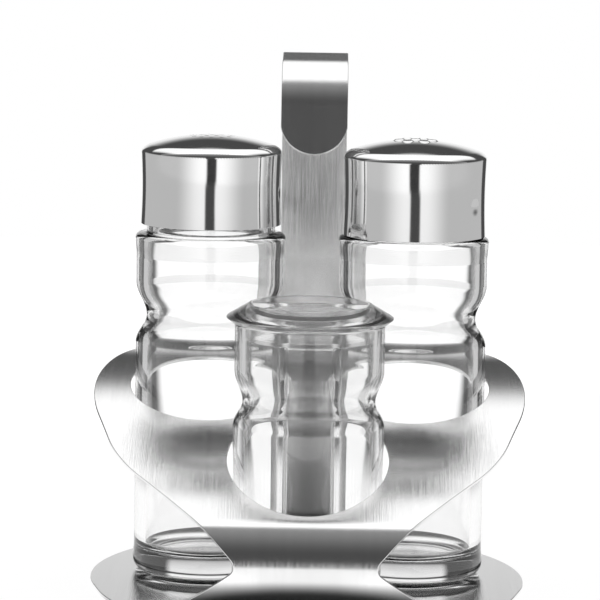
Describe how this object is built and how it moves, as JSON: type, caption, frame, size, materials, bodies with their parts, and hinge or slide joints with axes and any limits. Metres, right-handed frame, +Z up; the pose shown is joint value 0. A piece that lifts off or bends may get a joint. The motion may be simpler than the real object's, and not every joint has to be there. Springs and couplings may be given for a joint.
{
  "type": "table stand for condiments",
  "caption": "Bent brushed steel table stand with an upright hook handle, waisted glass shakers with polished caps and a small lidded glass jar.",
  "frame": {"origin": "on the table, at the middle of the stand's footprint, which is the centre of the round base", "axes": "+Z up from the table, +Y from the front bend to the handle, +X to the right as seen from the front"},
  "size_m": [0.129, 0.129, 0.1546],
  "materials": {
    "brushed_sheet": "brushed from front to back",
    "brushed_strap": "brushed along the strap",
    "rivet_steel": "satin",
    "polished_cap": "polished",
    "clear_glass": "clear, polished",
    "clear_plastic": "clear, glossy"
  },
  "bodies": {
    "stand": {"stand_sheet": "brushed_sheet", "handle_strap": "brushed_strap", "handle_rivets": "rivet_steel"},
    "left_shaker": {"left_bottle": "clear_glass"},
    "left_shaker_cap": {"left_cap": "polished_cap"},
    "right_shaker": {"right_bottle": "clear_glass"},
    "right_shaker_cap": {"right_cap": "polished_cap"},
    "jar": {"toothpick_jar": "clear_glass"},
    "lid": {"jar_lid": "clear_plastic"}
  },
  "joints": [
    {"name": "left_shaker_lift", "type": "slide", "parent": "stand", "child": "left_shaker", "axis": [0, 0, 1], "range_m": [0, 0.16]},
    {"name": "left_cap_lift", "type": "slide", "parent": "left_shaker", "child": "left_shaker_cap", "axis": [0, 0, 1], "range_m": [0, 0.035]},
    {"name": "right_shaker_lift", "type": "slide", "parent": "stand", "child": "right_shaker", "axis": [0, 0, 1], "range_m": [0, 0.16]},
    {"name": "right_cap_lift", "type": "slide", "parent": "right_shaker", "child": "right_shaker_cap", "axis": [0, 0, 1], "range_m": [0, 0.035]},
    {"name": "jar_lift", "type": "slide", "parent": "stand", "child": "jar", "axis": [0, 0, 1], "range_m": [0, 0.16]},
    {"name": "lid_lift", "type": "slide", "parent": "jar", "child": "lid", "axis": [0, 0, 1], "range_m": [0, 0.03]}
  ]
}
